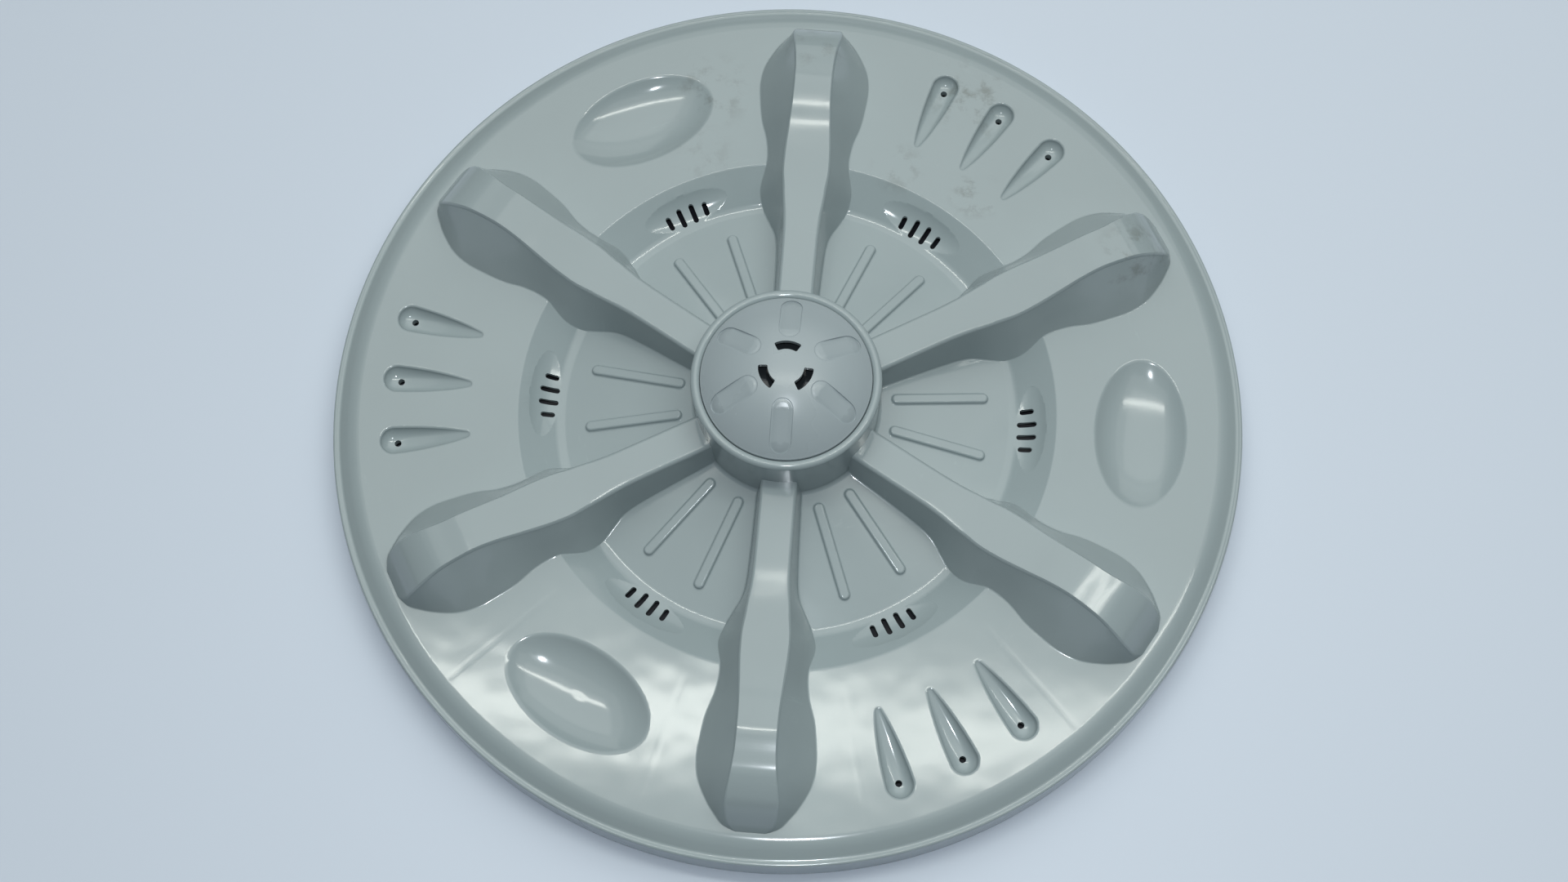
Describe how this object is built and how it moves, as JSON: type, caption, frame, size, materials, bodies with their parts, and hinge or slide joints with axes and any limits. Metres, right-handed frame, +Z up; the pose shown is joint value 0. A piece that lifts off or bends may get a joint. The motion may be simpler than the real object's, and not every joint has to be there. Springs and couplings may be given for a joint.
{
  "type": "washing machine pulsator",
  "caption": "Round wash plate with drafted vanes, a dished middle and a raised hub under a domed cap, for the bottom of a top-loading washing machine.",
  "frame": {"origin": "centre of the circle on which the foot of the skirt rests", "axes": "+Z up along the drive axis, towards the cap; +X along the middle of a sector between two vanes, over an oval hollow"},
  "size_m": [0.406, 0.406, 0.0745],
  "materials": {
    "plate_plastic": "gloss, pale blue-grey polypropylene with light scuffs",
    "cap_plastic": "gloss, pale blue-grey polypropylene",
    "insert_metal": "satin, sintered steel"
  },
  "bodies": {
    "root": {"wash_plate": "plate_plastic", "hub_cap": "cap_plastic", "spline_insert": "insert_metal"}
  },
  "joints": []
}
